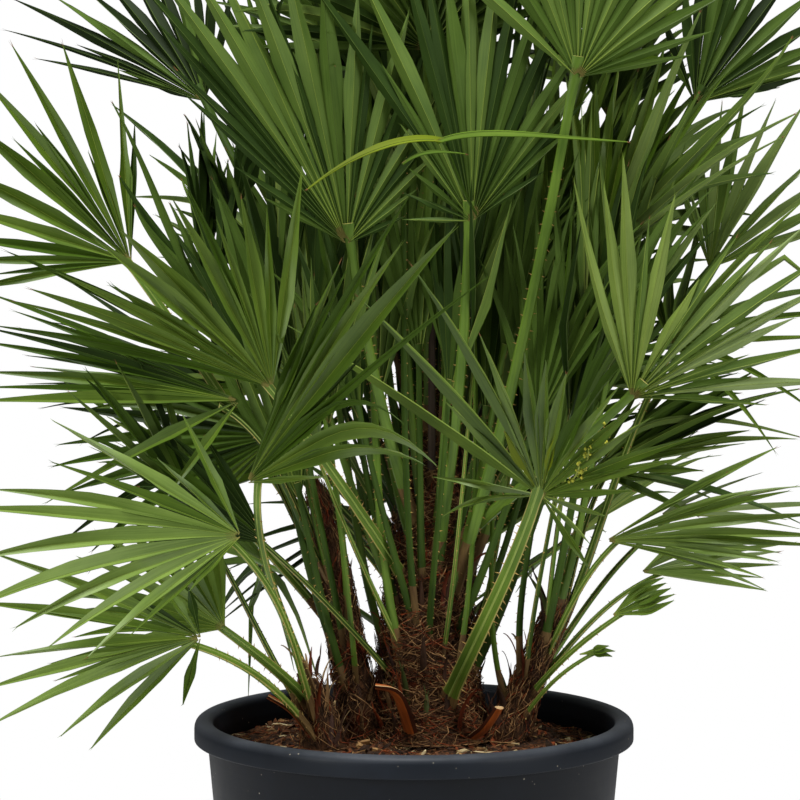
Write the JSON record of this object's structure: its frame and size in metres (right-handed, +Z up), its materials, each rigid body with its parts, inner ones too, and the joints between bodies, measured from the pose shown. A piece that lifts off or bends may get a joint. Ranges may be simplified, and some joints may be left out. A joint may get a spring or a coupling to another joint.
{
  "type": "potted european fan palm",
  "caption": "Clumping fan palm in a round nursery pot: fibrous stems, long leaf stalks and stiff palmate fronds. It stands on the pot's flat underside.",
  "frame": {"origin": "centre of the pot's flat underside", "axes": "+Z up; the picture looks along +Y, so the front faces -Y and +X is to the right"},
  "size_m": [1.1767, 1.119, 1.4983],
  "materials": {
    "pot_plastic": "blow-moulded charcoal polyethylene, semi-matte, a little dusty",
    "soil_mix": "coarse potting mix of bark, peat and fibre",
    "stem_fibre": "matted brown leaf-sheath fibre over old leaf bases",
    "dead_leaf_base": "dry rust-brown leaf stalk, cut off short",
    "frond_green": "stiff green leaf blade with pale ribs, satin"
  },
  "bodies": {
    "root": {"cut_base_front": "dead_leaf_base", "cut_base_left": "dead_leaf_base", "cut_base_right": "dead_leaf_base", "frond_01": "frond_green", "frond_02": "frond_green", "frond_03": "frond_green", "frond_04": "frond_green", "frond_05": "frond_green", "frond_06": "frond_green", "frond_07": "frond_green", "frond_08": "frond_green", "frond_09": "frond_green", "frond_10": "frond_green", "frond_11": "frond_green", "frond_12": "frond_green", "frond_13": "frond_green", "frond_14": "frond_green", "frond_15": "frond_green", "frond_16": "frond_green", "frond_17": "frond_green", "frond_18": "frond_green", "frond_19": "frond_green", "frond_20": "frond_green", "frond_21": "frond_green", "frond_22": "frond_green", "frond_23": "frond_green", "frond_24": "frond_green", "frond_25": "frond_green", "frond_26": "frond_green", "frond_27": "frond_green", "frond_29": "frond_green", "frond_30": "frond_green", "frond_31": "frond_green", "frond_32": "frond_green", "frond_34": "frond_green", "frond_36": "frond_green", "frond_37": "frond_green", "frond_40": "frond_green", "frond_41": "frond_green", "frond_42": "frond_green", "frond_44": "frond_green", "frond_45": "frond_green", "frond_46": "frond_green", "frond_47": "frond_green", "frond_48": "frond_green", "frond_49": "frond_green", "frond_50": "frond_green", "frond_51": "frond_green", "frond_52": "frond_green", "pot": "pot_plastic", "soil": "soil_mix", "spear": "frond_green", "stem_left": "stem_fibre", "stem_right": "stem_fibre", "sucker_left": "stem_fibre", "trunk": "stem_fibre"}
  },
  "joints": []
}
